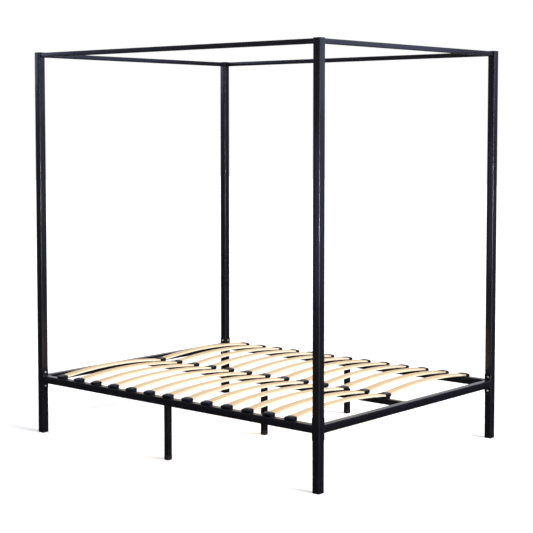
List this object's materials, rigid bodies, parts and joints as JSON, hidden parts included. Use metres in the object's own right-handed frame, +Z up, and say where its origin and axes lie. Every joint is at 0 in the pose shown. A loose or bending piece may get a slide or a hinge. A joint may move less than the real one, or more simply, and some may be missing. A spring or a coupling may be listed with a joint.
{
  "type": "four poster canopy bed",
  "caption": "Canopy bed frame in black square metal tube: tall corner posts joined by slim canopy rails, a low base with arched wooden slats in plastic holders, and mid support legs.",
  "frame": {"origin": "on the floor, under the middle of the bed", "axes": "+X across the bed to its right side, +Y along it to the head end, +Z up"},
  "size_m": [1.61, 2.09, 2.2],
  "materials": {
    "post_coat": "satin black powder coat",
    "canopy_coat": "satin black powder coat",
    "rail_coat": "satin black powder coat",
    "centre_coat": "satin black powder coat",
    "leg_coat": "satin black powder coat",
    "slat_wood": "pale birch plywood, lacquered",
    "holder_plastic": "glossy black plastic",
    "cap_plastic": "matt black plastic",
    "foot_plastic": "matt dark grey plastic"
  },
  "bodies": {
    "root": {"post_foot_left": "post_coat", "post_foot_right": "post_coat", "post_head_left": "post_coat", "post_head_right": "post_coat", "post_cap_foot_left": "cap_plastic", "post_cap_foot_right": "cap_plastic", "post_cap_head_left": "cap_plastic", "post_cap_head_right": "cap_plastic", "post_plug_foot_left": "foot_plastic", "post_plug_foot_right": "foot_plastic", "post_plug_head_left": "foot_plastic", "post_plug_head_right": "foot_plastic", "canopy_rail_left": "canopy_coat", "canopy_rail_right": "canopy_coat", "canopy_rail_foot": "canopy_coat", "canopy_rail_head": "canopy_coat", "side_rail_left": "rail_coat", "side_rail_right": "rail_coat", "foot_rail": "rail_coat", "head_rail": "rail_coat", "centre_rail": "centre_coat", "mid_leg_left": "leg_coat", "mid_leg_foot_left": "foot_plastic", "mid_leg_middle": "leg_coat", "mid_leg_foot_middle": "foot_plastic", "mid_leg_right": "leg_coat", "mid_leg_foot_right": "foot_plastic", "slat_left_01": "slat_wood", "slat_left_02": "slat_wood", "slat_left_03": "slat_wood", "slat_left_04": "slat_wood", "slat_left_05": "slat_wood", "slat_left_06": "slat_wood", "slat_left_07": "slat_wood", "slat_left_08": "slat_wood", "slat_left_09": "slat_wood", "slat_left_10": "slat_wood", "slat_left_11": "slat_wood", "slat_left_12": "slat_wood", "slat_left_13": "slat_wood", "slat_right_01": "slat_wood", "slat_right_02": "slat_wood", "slat_right_03": "slat_wood", "slat_right_04": "slat_wood", "slat_right_05": "slat_wood", "slat_right_06": "slat_wood", "slat_right_07": "slat_wood", "slat_right_08": "slat_wood", "slat_right_09": "slat_wood", "slat_right_10": "slat_wood", "slat_right_11": "slat_wood", "slat_right_12": "slat_wood", "slat_right_13": "slat_wood", "slat_holders_left": "holder_plastic", "slat_holders_middle": "holder_plastic", "slat_holders_right": "holder_plastic"}
  },
  "joints": []
}
